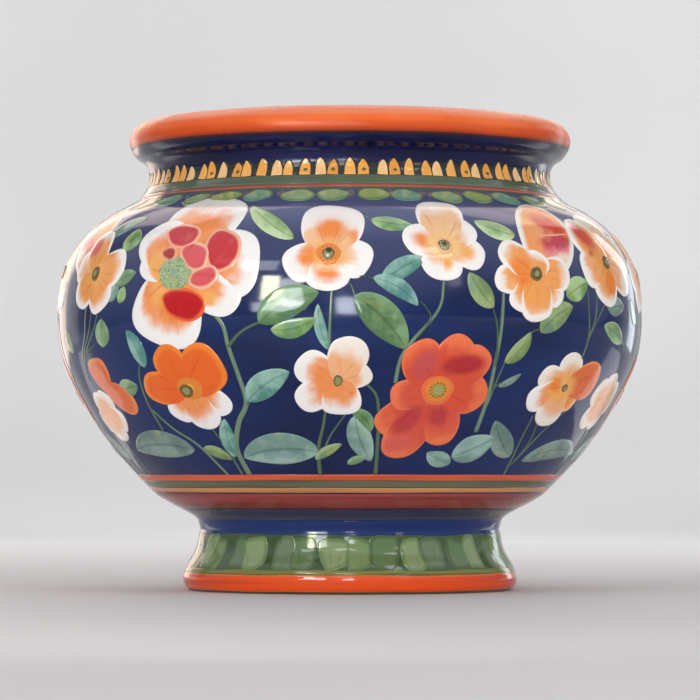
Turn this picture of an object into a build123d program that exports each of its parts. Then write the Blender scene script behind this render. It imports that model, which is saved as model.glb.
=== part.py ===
"""Talavera pottery vase: a round-bellied pot on a flared foot, thrown in five sections that
are luted together, then glazed and fired.

Millimetres, +Z up along the wheel axis, origin at the centre of the foot's standing face.
Every section is a ring turned about Z. The sections meet on flat seams, and both sides of a
seam read the same named radii, so they touch all the way round and never overlap.
"""
import os

from build123d import *

# Heights of the seams between the thrown sections, and of the rim.
FOOT_SEAM = 30.0
BELLY_SEAM = 120.0
NECK_SEAM = 175.0
RIM_SEAM = 194.8
HEIGHT = 207.2

# Outside and inside radii of the wall at those seams.
FOOT_SEAM_OUT, FOOT_SEAM_IN = 67.3, 57.0
BELLY_OUT, BELLY_IN = 130.2, 123.2
NECK_SEAM_OUT, NECK_SEAM_IN = 93.0, 86.6
RIM_SEAM_OUT, RIM_SEAM_IN = 97.2, 84.4

# The foot: the ring that it stands on, its widest bead and its narrow waist.
STAND_OUT, STAND_IN = 69.5, 62.5
BEAD_RADIUS, BEAD_HEIGHT = 74.1, 6.4
WAIST_RADIUS, WAIST_HEIGHT = 66.9, 26.0

# The bowl tucks in sharply above the waist. This is the top of the tuck.
TUCK_RADIUS, TUCK_HEIGHT = 87.4, 43.6

# The floor of the pot is flat in the middle, and rises into the wall.
FLOOR_HEIGHT = 38.0
FLOOR_FLAT_RADIUS = 50.0

# The throat is a short straight land inside the neck.
THROAT_RADIUS = 82.4
THROAT_LOW, THROAT_HIGH = 179.0, 189.0
NECK_WAIST_RADIUS, NECK_WAIST_HEIGHT = 89.3, 183.6

# The lip is rolled: its nose is the widest point, and its crown is the top of the pot.
NOSE_RADIUS, NOSE_HEIGHT = 98.5, 199.2
CROWN_RADIUS = 90.6
LIP_IN_RADIUS, LIP_IN_HEIGHT = 84.0, 200.0

# Directions, as (across, up), of the wall where one section hands over to the next.
UPRIGHT = (0, 1)
FOOT_TOP_FLARE = (0.25, 0.97)
BOWL_START_OUT = (0.25, 0.97)
TUCK_SLOPE = (0.70, 0.71)
BOWL_START_IN = (1, 0.08)
NECK_START_OUT = (-0.62, 0.78)
NECK_START_IN = (-0.70, 0.71)
RIM_START_OUT = (0.45, 0.89)
RIM_START_IN = (0.30, 0.95)


def foot():
    """The flared foot: a hollow ring, open underneath, with a rounded bead at its hem."""
    with BuildPart() as ring:
        with BuildSketch(Plane.XZ):
            with BuildLine():
                Spline(
                    (STAND_OUT, 0),
                    (BEAD_RADIUS, BEAD_HEIGHT),
                    (70.6, 14.6),
                    (68.0, 20.0),
                    (WAIST_RADIUS, WAIST_HEIGHT),
                    (FOOT_SEAM_OUT, FOOT_SEAM),
                    tangents=[(1, 0.12), FOOT_TOP_FLARE],
                )
                Line((FOOT_SEAM_OUT, FOOT_SEAM), (FOOT_SEAM_IN, FOOT_SEAM))
                Spline(
                    (FOOT_SEAM_IN, FOOT_SEAM),
                    (57.6, 20.0),
                    (STAND_IN, 0),
                    tangents=[(0, -1), (0.45, -0.89)],
                )
                Line((STAND_IN, 0), (STAND_OUT, 0))
            make_face()
        revolve(axis=Axis.Z)
    return ring.part


def lower_bowl():
    """The lower half of the belly, with the floor of the pot. It stands on the foot."""
    with BuildPart() as bowl:
        with BuildSketch(Plane.XZ):
            with BuildLine():
                Line((0, FOOT_SEAM), (FOOT_SEAM_OUT, FOOT_SEAM))
                Spline(
                    (FOOT_SEAM_OUT, FOOT_SEAM),
                    (72.2, 34.6),
                    (79.6, 38.6),
                    (TUCK_RADIUS, TUCK_HEIGHT),
                    tangents=[BOWL_START_OUT, TUCK_SLOPE],
                )
                Spline(
                    (TUCK_RADIUS, TUCK_HEIGHT),
                    (106.2, 64.0),
                    (121.2, 88.0),
                    (BELLY_OUT, BELLY_SEAM),
                    tangents=[TUCK_SLOPE, UPRIGHT],
                )
                Line((BELLY_OUT, BELLY_SEAM), (BELLY_IN, BELLY_SEAM))
                Spline(
                    (BELLY_IN, BELLY_SEAM),
                    (114.6, 90.6),
                    (100.2, 67.8),
                    (80.6, 47.6),
                    (FLOOR_FLAT_RADIUS, FLOOR_HEIGHT),
                    tangents=[(0, -1), (-BOWL_START_IN[0], -BOWL_START_IN[1])],
                )
                Line((FLOOR_FLAT_RADIUS, FLOOR_HEIGHT), (0, FLOOR_HEIGHT))
                Line((0, FLOOR_HEIGHT), (0, FOOT_SEAM))
            make_face()
        revolve(axis=Axis.Z)
    return bowl.part


def shoulder():
    """The upper half of the belly, which closes in towards the neck."""
    with BuildPart() as dome:
        with BuildSketch(Plane.XZ):
            with BuildLine():
                Spline(
                    (BELLY_OUT, BELLY_SEAM),
                    (126.4, 144.0),
                    (115.0, 160.0),
                    (102.8, 168.2),
                    (NECK_SEAM_OUT, NECK_SEAM),
                    tangents=[UPRIGHT, NECK_START_OUT],
                )
                Line((NECK_SEAM_OUT, NECK_SEAM), (NECK_SEAM_IN, NECK_SEAM))
                Spline(
                    (NECK_SEAM_IN, NECK_SEAM),
                    (98.4, 162.6),
                    (109.8, 154.8),
                    (119.6, 140.6),
                    (BELLY_IN, BELLY_SEAM),
                    tangents=[(-NECK_START_IN[0], -NECK_START_IN[1]), (0, -1)],
                )
                Line((BELLY_IN, BELLY_SEAM), (BELLY_OUT, BELLY_SEAM))
            make_face()
        revolve(axis=Axis.Z)
    return dome.part


def neck():
    """The short waisted neck, with a straight throat inside that a liner drops through."""
    with BuildPart() as collar:
        with BuildSketch(Plane.XZ):
            with BuildLine():
                Spline(
                    (NECK_SEAM_OUT, NECK_SEAM),
                    (NECK_WAIST_RADIUS, NECK_WAIST_HEIGHT),
                    (91.6, 189.6),
                    (RIM_SEAM_OUT, RIM_SEAM),
                    tangents=[NECK_START_OUT, RIM_START_OUT],
                )
                Line((RIM_SEAM_OUT, RIM_SEAM), (RIM_SEAM_IN, RIM_SEAM))
                Spline(
                    (RIM_SEAM_IN, RIM_SEAM),
                    (THROAT_RADIUS, THROAT_HIGH),
                    tangents=[(-RIM_START_IN[0], -RIM_START_IN[1]), (0, -1)],
                )
                Line((THROAT_RADIUS, THROAT_HIGH), (THROAT_RADIUS, THROAT_LOW))
                Spline(
                    (THROAT_RADIUS, THROAT_LOW),
                    (NECK_SEAM_IN, NECK_SEAM),
                    tangents=[(0, -1), (-NECK_START_IN[0], -NECK_START_IN[1])],
                )
                Line((NECK_SEAM_IN, NECK_SEAM), (NECK_SEAM_OUT, NECK_SEAM))
            make_face()
        revolve(axis=Axis.Z)
    return collar.part


def rolled_rim():
    """The rolled lip: a thick rounded coil on the neck's flare."""
    with BuildPart() as lip:
        with BuildSketch(Plane.XZ):
            with BuildLine():
                Spline(
                    (RIM_SEAM_OUT, RIM_SEAM),
                    (NOSE_RADIUS, NOSE_HEIGHT),
                    (96.4, 204.4),
                    (CROWN_RADIUS, HEIGHT),
                    (85.4, 204.6),
                    (LIP_IN_RADIUS, LIP_IN_HEIGHT),
                    (RIM_SEAM_IN, RIM_SEAM),
                    tangents=[RIM_START_OUT, (RIM_START_IN[0], -RIM_START_IN[1])],
                )
                Line((RIM_SEAM_IN, RIM_SEAM), (RIM_SEAM_OUT, RIM_SEAM))
            make_face()
        revolve(axis=Axis.Z)
    return lip.part


SECTIONS = {
    "foot": foot,
    "lower_bowl": lower_bowl,
    "shoulder": shoulder,
    "neck": neck,
    "rolled_rim": rolled_rim,
}

os.makedirs("parts", exist_ok=True)
for name, make in SECTIONS.items():
    section = make()
    section.label = name
    export_step(section, f"parts/{name}.step")
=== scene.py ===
import math

import bpy
import numpy as np
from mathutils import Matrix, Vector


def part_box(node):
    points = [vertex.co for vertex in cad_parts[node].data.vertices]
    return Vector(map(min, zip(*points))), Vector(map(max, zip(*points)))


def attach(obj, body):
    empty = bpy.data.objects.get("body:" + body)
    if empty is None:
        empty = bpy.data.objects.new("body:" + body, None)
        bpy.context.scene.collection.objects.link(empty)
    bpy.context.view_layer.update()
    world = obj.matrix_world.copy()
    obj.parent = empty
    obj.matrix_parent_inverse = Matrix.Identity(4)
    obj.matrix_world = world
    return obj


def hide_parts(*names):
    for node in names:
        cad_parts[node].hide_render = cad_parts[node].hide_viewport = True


# The talavera vase: glazed thrown sections and hand-painted enamel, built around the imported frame.
# Azimuths are in degrees from the painted front (-Y) towards +X. Painted sizes are in millimetres.
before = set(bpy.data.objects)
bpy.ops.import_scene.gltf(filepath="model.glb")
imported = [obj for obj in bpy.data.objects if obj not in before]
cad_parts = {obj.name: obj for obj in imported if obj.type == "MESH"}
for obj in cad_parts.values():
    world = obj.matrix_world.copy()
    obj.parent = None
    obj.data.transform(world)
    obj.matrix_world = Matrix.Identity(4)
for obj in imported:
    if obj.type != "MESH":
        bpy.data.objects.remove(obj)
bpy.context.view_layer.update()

MM = 0.001
TURN = 2 * math.pi
STEPS_AROUND = 360
SUNK = -0.15 * MM  # how deep the edge of a touch of enamel is set into the wall
SAME_SPOT = 0.05 * MM  # two points of a wall line that are closer than this are one


# ---------------------------------------------------------------- the wall that everything lies on

class WallLine:
    """A smooth line through a wall's (radius, height) points, measured by its own length."""

    def __init__(self, points):
        self.points = np.array(points, float)
        gaps = np.hypot(*np.diff(self.points, axis=0).T)
        self.marks = np.concatenate(([0.0], np.cumsum(gaps)))
        self.length = self.marks[-1]
        slopes = np.diff(self.points, axis=0) / gaps[:, None]
        before, after = gaps[:-1, None], gaps[1:, None]
        middle = (slopes[1:] * before + slopes[:-1] * after) / (before + after)
        self.slopes = np.vstack((slopes[:1], middle, slopes[-1:]))

    def at(self, s):
        """Radius and height at the given lengths, on a cubic through the points."""
        s = np.clip(s, 0, self.length)
        k = np.clip(np.searchsorted(self.marks, s, side="right") - 1, 0, len(self.marks) - 2)
        gap = self.marks[k + 1] - self.marks[k]
        t = (s - self.marks[k]) / gap
        weights = (
            2 * t**3 - 3 * t**2 + 1,
            (t**3 - 2 * t**2 + t) * gap,
            3 * t**2 - 2 * t**3,
            (t**3 - t**2) * gap,
        )
        parts = (self.points[k], self.slopes[k], self.points[k + 1], self.slopes[k + 1])
        place = sum(w[..., None] * p for w, p in zip(weights, parts))
        return place[..., 0], place[..., 1]

    def facing(self, s):
        """The (radius, height) direction that points out of the clay at the given lengths."""
        step = 0.2 * MM
        s = np.clip(s, step / 2, self.length - step / 2)
        r0, z0 = self.at(s - step)
        r1, z1 = self.at(s + step)
        size = np.hypot(r1 - r0, z1 - z0)
        return (z1 - z0) / size, (r0 - r1) / size

    def length_at(self, z):
        """The length at which a rising line reaches a height."""
        return np.interp(z, self.points[:, 1], self.marks)

    def mark_near(self, point):
        """The length at the line's own point that is nearest to a (radius, height) point."""
        return float(self.marks[np.argmin(np.hypot(*(self.points - point).T))])


def wall_points(node, side):
    """A section's outer (side 1) or inner (side -1) wall as (radius, height) points, bottom up.

    They are the corners of its mesh on the half plane where the CAD turning starts.
    """
    found = {
        (round(v.co.z, 6), round(v.co.x, 6))
        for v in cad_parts[node].data.vertices
        if abs(v.co.y) < 1e-6 and v.co.x > 0 and side * v.normal.x > 0.05
    }
    return [(r, z) for z, r in sorted(found)]


def chain(nodes, side):
    """The wall points of several sections, stacked, with each seam's point kept once."""
    points = []
    for node in nodes:
        for point in wall_points(node, side):
            if not points or math.dist(point, points[-1]) > SAME_SPOT:
                points.append(point)
    return points


SECTIONS = ("foot", "lower_bowl", "shoulder", "neck", "rolled_rim")
OUTSIDE = WallLine(chain(SECTIONS, 1))
CROWN = OUTSIDE.points[-1]
INSIDE_POINTS = chain(SECTIONS[1:], -1)
INSIDE = WallLine([CROWN] + [p for p in INSIDE_POINTS[::-1] if math.dist(p, CROWN) > SAME_SPOT])
FOOT_INSIDE = WallLine(wall_points("foot", -1)[::-1])


def stray(phi, r, z):
    """How far the hand-thrown wall strays from true, in metres. It dies out on the axis."""
    oval = 0.20 * np.sin(2 * phi + 0.7 + 9 * z) + 0.12 * np.sin(3 * phi - 1.3 + 14 * z)
    ridges = 0.035 * np.sin(z / (3.1 * MM) + 0.8 * np.sin(phi + 0.4))
    return (oval + ridges) * MM * np.clip(r / 0.06, 0, 1)


def on_wall(phi, s, lift=0.0, line=OUTSIDE):
    """Points of the wall, lifted off it along its facing. phi is in radians, the rest in metres."""
    phi, s = np.broadcast_arrays(phi, s)
    r, z = line.at(s)
    out, up = line.facing(s)
    r = r + stray(phi, r, z) + lift * out
    z = z + lift * up
    return np.stack((r * np.sin(phi), -r * np.cos(phi), z), axis=-1)


def wall_normals(phi, s, line):
    """Unit normals of the wall, which run on smoothly from one section into the next."""
    turn, step = 0.002, 0.3 * MM
    along = on_wall(phi + turn, s, line=line) - on_wall(phi - turn, s, line=line)
    rise = on_wall(phi, s + step, line=line) - on_wall(phi, s - step, line=line)
    normals = np.cross(along, rise)
    return normals / np.linalg.norm(normals, axis=-1, keepdims=True)


# ---------------------------------------------------------------- colours and shaders

def paint(red, green, blue, extra=1.0):
    """A colour from a 0 to 255 chart, in linear light. extra rides in the fourth place."""
    def linear(value):
        value /= 255
        return value / 12.92 if value <= 0.04045 else ((value + 0.055) / 1.055) ** 2.4
    return (linear(red), linear(green), linear(blue), extra)


class Shader:
    """Builds one material's nodes. An input takes a number, a colour or another node's output."""

    def __init__(self, name):
        self.material = bpy.data.materials.new(name)
        self.material.use_nodes = True
        self.tree = self.material.node_tree
        self.tree.nodes.clear()

    def node(self, kind, inputs=None, **settings):
        made = self.tree.nodes.new("ShaderNode" + kind)
        for key, value in settings.items():
            setattr(made, key, value)
        for key, value in (inputs or {}).items():
            if isinstance(value, bpy.types.NodeSocket):
                self.tree.links.new(value, made.inputs[key])
            else:
                made.inputs[key].default_value = value
        return made

    def number(self, name):
        return self.node("Attribute", attribute_name=name).outputs["Fac"]

    def tint(self, name):
        """A painted colour attribute: its colour, and the number in its fourth place."""
        outputs = self.node("Attribute", attribute_name=name).outputs
        return outputs["Color"], outputs["Alpha"]

    def math(self, operation, *values):
        return self.node("Math", dict(enumerate(values)), operation=operation).outputs[0]

    def times(self, first, second):
        return self.math("MULTIPLY", first, second)

    def plus(self, first, second):
        return self.math("ADD", first, second)

    def swing(self, noise, size):
        """Noise of 0 to 1 turned into a push of up to half the size either way."""
        return self.times(self.math("SUBTRACT", noise, 0.5), size)

    def fade(self, value, start, end, low=0.0, high=1.0):
        """Goes smoothly from low to high as value goes from start to end."""
        inputs = {"Value": value, "From Min": start, "From Max": end, "To Min": low, "To Max": high}
        return self.node("MapRange", inputs, interpolation_type="SMOOTHSTEP").outputs["Result"]

    def mix(self, share, first, second, blend="MIX"):
        inputs = {0: share, 6: first, 7: second}
        return self.node("Mix", inputs, data_type="RGBA", blend_type=blend).outputs[2]

    def stained(self, colour, stain):
        return self.mix(1.0, colour, stain, "MULTIPLY")

    def place(self, stretch=(1, 1, 1)):
        """The point's place on the vase, stretched."""
        spot = self.node("TexCoord").outputs["Object"]
        return self.node("Mapping", {"Vector": spot, "Scale": stretch}).outputs["Vector"]

    def joined(self, x, y, z=0.0):
        return self.node("CombineXYZ", {"X": x, "Y": y, "Z": z}).outputs["Vector"]

    def noise(self, vector, scale, detail=2.0):
        inputs = {"Vector": vector, "Scale": scale, "Detail": detail}
        return self.node("TexNoise", inputs).outputs["Fac"]

    def height(self):
        spot = self.node("TexCoord").outputs["Object"]
        return self.node("SeparateXYZ", {"Vector": spot}).outputs["Z"]

    def glaze(self, colour, roughness=0.07, index=1.42):
        """Finishes the material as a clear fired glaze over colour, slightly wavy and pinholed."""
        slow = self.noise(self.place(), 38.0, 1.0)
        fine = self.noise(self.place(), 420.0, 2.0)
        swell = self.node("Bump", {"Height": slow, "Strength": 0.10, "Distance": 3 * MM})
        pinholes = {"Height": fine, "Strength": 0.05, "Distance": 0.15 * MM, "Normal": swell.outputs[0]}
        bump = self.node("Bump", pinholes).outputs[0]
        worn = self.fade(self.noise(self.place(), 70.0, 4.0), 0.35, 0.75, roughness, roughness * 1.9)
        surface = {"Base Color": colour, "Roughness": worn, "Normal": bump, "IOR": index}
        out = self.node("BsdfPrincipled", surface).outputs["BSDF"]
        self.node("OutputMaterial", {"Surface": out})
        return self.material


def brushed_material(name, hair_tone, outline_tone):
    """Enamel touches: a heart colour brushed out from the core, into a rim with a fine outline."""
    m = Shader(name)
    heart, extent = m.tint("heart")
    rim, border = m.tint("rim")
    along, edge, spoke = m.number("along"), m.number("edge"), m.number("spoke")
    bristles = m.noise(m.joined(m.times(spoke, 11.0), m.times(along, 1.1)), 1.0, 3.0)
    clouds = m.noise(m.place(), 130.0, 2.0)
    ragged = m.plus(along, m.swing(bristles, 0.24))
    ragged = m.plus(ragged, m.swing(clouds, 0.40))
    inner = m.math("SUBTRACT", extent, 0.20)
    outer = m.plus(extent, 0.12)
    reach = m.math("SUBTRACT", 1.0, m.fade(ragged, inner, outer))
    outward = m.math("MAXIMUM", m.number("full_rim"), m.fade(along, 0.35, 0.85, 0.08, 1.0))
    border = m.times(border, outward)
    body = m.times(reach, m.fade(edge, m.times(border, 0.40), border))
    blush = m.mix(0.30, rim, heart)
    glow = m.times(m.fade(edge, m.times(border, 0.5), m.times(border, 1.6)), 0.55)
    colour = m.mix(m.times(glow, m.fade(ragged, 1.0, 0.35)), rim, blush)
    colour = m.mix(body, colour, heart)
    deep = m.stained(heart, hair_tone)
    hair = m.times(m.fade(bristles, 0.55, 0.68), m.fade(along, 0.95, 0.35))
    colour = m.mix(m.times(m.times(hair, body), 0.85), colour, deep)
    pale = m.times(m.fade(clouds, 0.50, 0.20), m.times(body, 0.30))
    colour = m.mix(pale, colour, m.mix(0.5, heart, rim))
    line = m.times(m.fade(edge, 0.05, 0.42, 0.55, 0.0), m.number("ink"))
    outline = m.stained(colour, outline_tone)
    return m.glaze(m.mix(line, colour, outline))


def leaf_material():
    """Enamel leaves: washed greens pooled with ochre and blue, either side of a faint midrib."""
    m = Shader("leaf_enamel")
    dark, line_strength = m.tint("heart")
    light, _ = m.tint("rim")
    along, edge, side = m.number("along"), m.number("edge"), m.number("spoke")
    off_rib = m.math("ABSOLUTE", side)
    hairs = m.noise(m.joined(m.times(side, 5.0), m.times(along, 2.2)), 1.6, 3.0)
    pools = m.noise(m.place(), 120.0, 3.0)
    blots = m.noise(m.place((1, 1, 1.3)), 75.0, 2.0)
    half = m.plus(m.times(side, 0.55), m.swing(pools, 3.2))
    colour = m.mix(m.fade(half, -0.60, 0.55), dark, light)
    colour = m.mix(m.fade(hairs, 0.5, 0.8, 0.0, 0.45), colour, m.mix(0.5, dark, light))
    colour = m.mix(m.fade(blots, 0.58, 0.72, 0.0, 0.34), colour, paint(196, 196, 104))
    colour = m.mix(m.fade(blots, 0.42, 0.30, 0.0, 0.40), colour, paint(92, 128, 146))
    slant = m.plus(m.times(along, 7.0), m.times(off_rib, -2.0))
    veins = m.fade(m.math("ABSOLUTE", m.math("SINE", m.times(slant, math.pi))), 0.34, 0.06)
    veins = m.times(veins, m.fade(off_rib, 0.95, 0.5))
    colour = m.mix(m.times(veins, 0.09), colour, paint(196, 210, 176))
    shade = m.stained(colour, paint(150, 168, 160))
    colour = m.mix(m.fade(off_rib, 0.02, 0.14, 0.50, 0.0), colour, shade)
    colour = m.mix(m.times(m.fade(edge, 0.05, 0.6, 0.9, 0.0), line_strength), colour, shade)
    return m.glaze(colour)


def band_material():
    """Painted bands: a loaded brush held against the turning pot, thin in places."""
    m = Shader("band_enamel")
    heart, _ = m.tint("heart")
    rim, border = m.tint("rim")
    edge = m.number("edge")
    drag = m.noise(m.place((9, 9, 420)), 1.0, 3.0)
    pools = m.noise(m.place((30, 30, 60)), 1.0, 2.0)
    inked = m.fade(m.plus(edge, m.swing(pools, 1.2)), 0.0, border)
    colour = m.mix(inked, rim, heart)
    thin = m.stained(colour, paint(212, 214, 222))
    colour = m.mix(m.fade(drag, 0.42, 0.72), colour, thin)
    return m.glaze(colour)


def ground_material(name, dark, light, washes_and_painted_light=(), **finish):
    """A section's ground colour: brushed round the pot, pooled dark and thin light.

    A wash is (colour, millimetres up where it starts, where it is full, how full, how ragged).
    Some washes are painted highlight, painted reflection and painted shade laid into the colour.
    """
    m = Shader(name)
    drag = m.noise(m.place((7, 7, 60)), 1.0, 4.0)
    pools = m.noise(m.place((16, 16, 11)), 1.0, 3.0)
    thinness = m.plus(m.times(drag, 0.5), m.times(pools, 0.6))
    colour = m.mix(m.fade(thinness, 0.36, 0.76), dark, light)
    for tone, start, full, share, ragged in washes_and_painted_light:
        rise = m.plus(m.height(), m.swing(pools, ragged * MM))
        colour = m.mix(m.fade(rise, start * MM, full * MM, 0.0, share), colour, tone)
    return m.glaze(colour, **finish)


def inside_material():
    """The inside: milky tin glaze over buff clay, crazed here and there."""
    m = Shader("inside_tin_glaze")
    pools = m.noise(m.place((10, 10, 26)), 1.0, 3.0)
    colour = m.mix(m.fade(pools, 0.35, 0.75), paint(226, 215, 194), paint(240, 234, 220))
    cracks = m.node("TexVoronoi", {"Vector": m.place(), "Scale": 130.0}, feature="DISTANCE_TO_EDGE")
    hair = m.fade(cracks.outputs["Distance"], 0.012, 0.0, 0.0, 0.30)
    return m.glaze(m.mix(hair, colour, paint(168, 140, 108)), roughness=0.14)


def clay_material():
    """Bare fired clay where the glaze is wiped off."""
    m = Shader("bare_clay")
    grain = m.noise(m.place(), 900.0, 4.0)
    pools = m.noise(m.place(), 60.0, 3.0)
    colour = m.mix(m.fade(pools, 0.3, 0.7), paint(182, 118, 84), paint(206, 150, 112))
    colour = m.mix(m.fade(grain, 0.55, 0.8, 0.0, 0.6), colour, paint(150, 92, 62))
    bump = m.node("Bump", {"Height": grain, "Strength": 0.5, "Distance": 0.3 * MM}).outputs[0]
    surface = {"Base Color": colour, "Roughness": 0.85, "Normal": bump}
    m.node("OutputMaterial", {"Surface": m.node("BsdfPrincipled", surface).outputs["BSDF"]})
    return m.material


def studio_material(name, colour):
    """Plain matt paper for the floor and backdrop, with the faintest unevenness."""
    m = Shader(name)
    pools = m.noise(m.place(), 1.2, 2.0)
    tone = m.mix(m.fade(pools, 0.2, 0.8), colour, paint(232, 231, 230))
    surface = m.node("BsdfPrincipled", {"Base Color": tone, "Roughness": 0.7})
    m.node("OutputMaterial", {"Surface": surface.outputs["BSDF"]})
    return m.material


PETAL = brushed_material("petal_enamel", paint(238, 200, 182), paint(206, 152, 128))
WASH = brushed_material("wash_enamel", paint(206, 216, 202), paint(176, 190, 176))
LEAF = leaf_material()
BAND = band_material()
INSIDE_GLAZE = inside_material()
CLAY = clay_material()
# Upward from the belly's middle: the first two washes are painted reflection, a paler slate-lavender
# sheen where the glaze mirrors the bright overhead glow. The third is an olive wash just under the upper
# red line.
BELLY_SHEEN_AND_OLIVE_WASHES = [
    (paint(54, 61, 100), 114, 140, 0.9, 60),
    (paint(88, 95, 133), 148, 162, 0.9, 14),
    (paint(96, 110, 80), 169.5, 173, 0.9, 4),
]
FOOT_GROUND = ground_material("foot_ground", paint(56, 78, 40), paint(80, 102, 58))
BELLY_GROUND_AND_SHEEN = ground_material("belly_ground_painted_sheen", paint(10, 24, 66), paint(20, 44, 100), BELLY_SHEEN_AND_OLIVE_WASHES)
NECK_GROUND = ground_material("neck_ground", paint(6, 8, 42), paint(16, 20, 78), roughness=0.13)
# The rim's washes are painted light and shade: a pale peach painted highlight along the crest, painted
# shade deepening the roll's lower half, darker red-brown painted shade under it, and near-black painted
# shade in the crease where the roll meets the neck.
RIM_PAINTED_LIGHT_AND_SHADE = [
    (paint(250, 156, 118), 202.0, 204.4, 0.55, 1.5),
    (paint(206, 68, 4), 201.6, 198.6, 0.75, 1.5),
    (paint(124, 44, 26), 198.0, 195.6, 0.7, 2),
    (paint(44, 24, 34), 196.2, 195.4, 0.95, 1),
]
RIM_GROUND_AND_PAINTED_LIGHT = ground_material("rim_ground_painted_light_and_shade", paint(232, 88, 14), paint(248, 118, 44), RIM_PAINTED_LIGHT_AND_SHADE,
                             roughness=0.24, index=1.36)


# ---------------------------------------------------------------- the thrown sections

def new_piece(name, spots, faces, materials):
    """A mesh object that rides on the vase."""
    mesh = bpy.data.meshes.new(name)
    mesh.from_pydata(spots.tolist(), [], faces)
    mesh.shade_smooth()
    for material in materials:
        mesh.materials.append(material)
    piece = bpy.data.objects.new(name, mesh)
    bpy.context.scene.collection.objects.link(piece)
    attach(piece, "root")
    return piece


def lathe(name, runs, materials, closed=True):
    """A turned section. Each run is (line, start, end, steps, material number), in loop order."""
    phi = np.linspace(0, TURN, STEPS_AROUND, endpoint=False)
    rings, low, high, coats = [], [], [], []
    for line, start, end, steps, coat in runs:
        s = np.linspace(start, end, steps + 1)[:, None]
        rings.append(on_wall(phi, s, line=line)[:-1])
        normals = wall_normals(phi, s, line)
        low.append(normals[:-1])
        high.append(normals[1:])
        coats += [coat] * steps
    if not closed:
        line, _, end, _, _ = runs[-1]
        rings.append(on_wall(phi, np.array([[end]]), line=line))
    rings, low, high = (np.concatenate(part) for part in (rings, low, high))
    count = len(rings)
    here = np.arange(STEPS_AROUND)
    beside = (here + 1) % STEPS_AROUND
    faces, normals = [], []
    for k in range(len(low)):
        over = (k + 1) % count
        quads = np.stack((k * STEPS_AROUND + here, k * STEPS_AROUND + beside,
                          over * STEPS_AROUND + beside, over * STEPS_AROUND + here), axis=1)
        faces += quads.tolist()
        normals.append(np.stack((low[k], low[k][beside], high[k][beside], high[k]), axis=1))
    normals = np.concatenate(normals).reshape(-1, 3)
    face_coats = np.repeat(coats, STEPS_AROUND)
    if not closed:
        last = (count - 1) * STEPS_AROUND
        faces += [here[::-1].tolist(), (last + here).tolist()]
        caps = [[0.0, 0.0, -1.0]] * STEPS_AROUND + [[0.0, 0.0, 1.0]] * STEPS_AROUND
        normals = np.concatenate((normals, caps))
        face_coats = np.concatenate((face_coats, [coats[0], coats[-1]]))
    piece = new_piece(name, rings.reshape(-1, 3), faces, materials)
    piece.data.polygons.foreach_set("material_index", face_coats.astype(np.int32))
    piece.data.normals_split_custom_set(normals.tolist())
    return piece


def straight(start, end):
    """A straight wall line between two (radius, height) points."""
    return WallLine([start, end])


def whole(line, steps, coat):
    return (line, 0.0, line.length, steps, coat)


def section(node, ground, outer_steps, inner_steps):
    """A ring section between two seams: up the outside, over the seam, down the inside, back."""
    low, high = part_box(node)
    outer = [OUTSIDE.length_at(z) for z in (low.z, high.z)]
    inner = wall_points(node, -1)
    drops = [INSIDE.mark_near(p) for p in (inner[-1], inner[0])]
    corners = [np.array(OUTSIDE.at(s)) for s in outer] + [np.array(INSIDE.at(s)) for s in drops]
    runs = [(OUTSIDE, *outer, outer_steps, 0)]
    if math.dist(corners[1], corners[2]) > 0.5 * MM:
        runs.append(whole(straight(corners[1], corners[2]), 2, 2))
    runs.append((INSIDE, *drops, inner_steps, 1))
    runs.append(whole(straight(corners[3], corners[0]), 2, 2))
    piece = lathe(node + "_glazed", runs, [ground, INSIDE_GLAZE, CLAY])
    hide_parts(node)


def bowl_section():
    """The lower bowl, which also has the pot's flat floor. Its loop ends on the axis."""
    low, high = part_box("lower_bowl")
    outer = [OUTSIDE.length_at(z) for z in (low.z, high.z)]
    inner = wall_points("lower_bowl", -1)
    start = INSIDE.mark_near(inner[-1])
    centre = 0.4 * MM
    floor_edge = INSIDE.points[-1]
    runs = [
        whole(straight((centre, low.z), OUTSIDE.at(outer[0])), 12, 2),
        (OUTSIDE, *outer, 90, 0),
        whole(straight(OUTSIDE.at(outer[1]), INSIDE.at(start)), 2, 2),
        (INSIDE, start, INSIDE.length, 60, 1),
        whole(straight(floor_edge, (centre, floor_edge[1])), 12, 1),
    ]
    materials = [BELLY_GROUND_AND_SHEEN, INSIDE_GLAZE, CLAY]
    piece = lathe("lower_bowl_glazed", runs, materials, closed=False)
    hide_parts("lower_bowl")


def foot_section():
    """The hollow foot: glazed outside, wiped bare where it stands and inside."""
    _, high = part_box("foot")
    top = OUTSIDE.length_at(high.z)
    runs = [
        (OUTSIDE, 0.0, top, 60, 0),
        whole(straight(OUTSIDE.at(top), FOOT_INSIDE.points[0]), 3, 1),
        whole(FOOT_INSIDE, 30, 1),
        whole(straight(FOOT_INSIDE.points[-1], OUTSIDE.points[0]), 4, 1),
    ]
    piece = lathe("foot_glazed", runs, [FOOT_GROUND, CLAY])
    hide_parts("foot")


# ---------------------------------------------------------------- touches of enamel

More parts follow.
